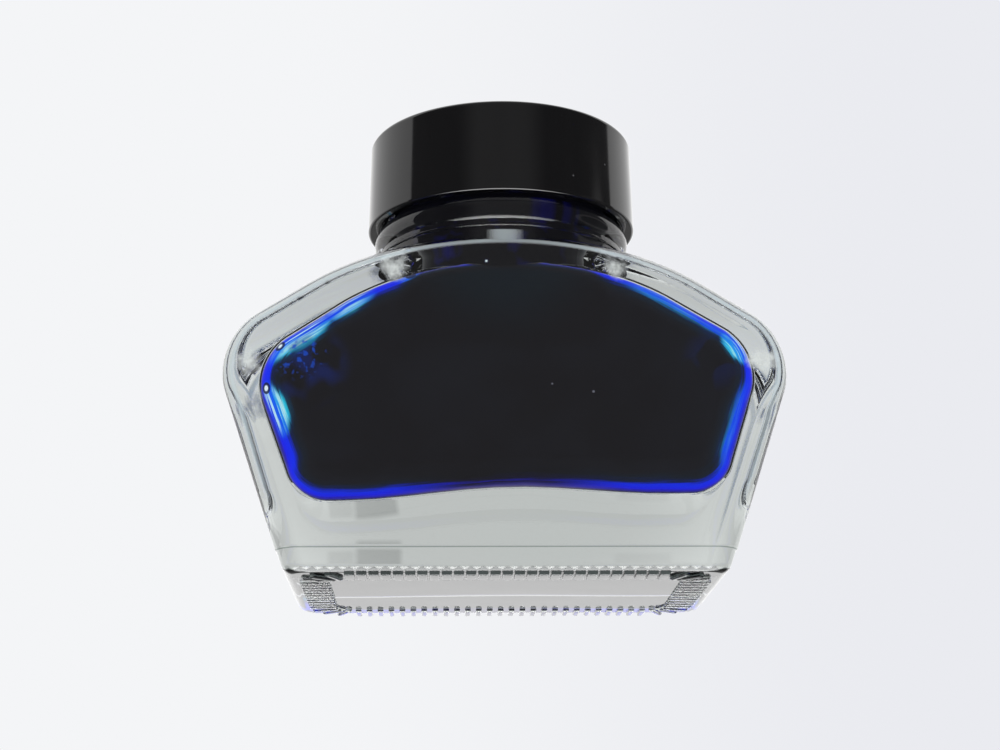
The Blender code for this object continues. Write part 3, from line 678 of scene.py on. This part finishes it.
# Mirrored, the pale paper behind the bottle ends sharply at a dim room that has a lit slit on one
# side and a strip light below. Each mask runs along one measure of the direction it is seen in.
toward = add_node(world, "ShaderNodeTexCoord").outputs["Generated"]
toward = add_node(world, "ShaderNodeSeparateXYZ", {"Vector": toward}).outputs
aside = add_node(world, "ShaderNodeMath", {0: toward["X"]}, operation="ABSOLUTE")
paper_end = add_node(world, "ShaderNodeMath", {0: toward["X"], 1: 0.2, 2: 0.1}, operation="MULTIPLY_ADD")
paper_end = add_node(world, "ShaderNodeMath", {0: toward["Y"], 1: paper_end}, operation="SUBTRACT")
masks = {}
for name, value, start, end, before, after in (
        ("room", aside, 0.3, 0.6, 0.28, 0.1), ("strip", toward["Z"], -0.9, -0.7, 8.0, 0.0),
        ("slit", toward["X"], 0.915, 0.925, 0.0, 0.25), ("slit_end", toward["X"], 0.95, 0.955, 1.0, 0.0),
        ("paper", paper_end, 0.0, 0.03, 0.0, 1.0), ("over_table", toward["Z"], -0.34, -0.24, 0.0, 1.0),
        ("to_one_side", toward["X"], -0.1, 0.25, 0.0, 1.0)):
    ends = {"Value": value, "From Min": start, "From Max": end, "To Min": before, "To Max": after}
    masks[name] = add_node(world, "ShaderNodeMapRange", ends, interpolation_type="SMOOTHSTEP")
slit = add_node(world, "ShaderNodeMath", {0: masks["slit"], 1: masks["slit_end"]}, operation="MULTIPLY")
sheet = add_node(world, "ShaderNodeMath", {0: masks["paper"], 1: masks["over_table"]}, operation="MULTIPLY")
mirrored = masks["room"]
for part in (slit, masks["strip"], sheet):
    mirrored = add_node(world, "ShaderNodeMath", {0: mirrored, 1: part}, operation="ADD")

# The mirrored image shows on gloss, and the pale surround directly and through the glass.
paths = add_node(world, "ShaderNodeLightPath").outputs
in_gloss = {0: paths["Is Glossy Ray"], 1: paths["Is Transmission Ray"]}
in_gloss = add_node(world, "ShaderNodeMath", in_gloss, operation="SUBTRACT")
in_gloss = add_node(world, "ShaderNodeMath", {0: in_gloss, 1: 0.0}, operation="MAXIMUM")
pale = {"Factor": masks["to_one_side"], 6: linear("#F4F5F7"), 7: linear("#EAEBF0")}
pale = add_node(world, "ShaderNodeMix", pale, data_type="RGBA")
sky = add_node(world, "ShaderNodeMix", {"Factor": in_gloss, 6: pale, 7: mirrored}, data_type="RGBA")
world.node_tree.links.new(sky.outputs[2], world.node_tree.nodes["Background"].inputs["Color"])

lens = bpy.data.cameras.new("camera")
lens.lens, lens.sensor_width = 70.0, 36.0
lens.clip_start = 0.01
camera = bpy.data.objects.new("camera", lens)
bpy.context.scene.collection.objects.link(camera)
# The camera stands low, near the foot, and looks up at the bottle.
yaw, pitch, roll = math.radians(-1.7), math.radians(15.78), math.radians(0.4)
DISTANCE, HEIGHT, ASIDE = 264.8 * MM, -43.2 * MM, -0.8 * MM
camera.location = (DISTANCE * math.sin(yaw) + ASIDE, -DISTANCE * math.cos(yaw), HEIGHT)
camera.rotation_euler = (math.radians(90) + pitch, roll, yaw)
bpy.context.scene.camera = camera
bpy.context.scene.view_settings.view_transform = "Standard"
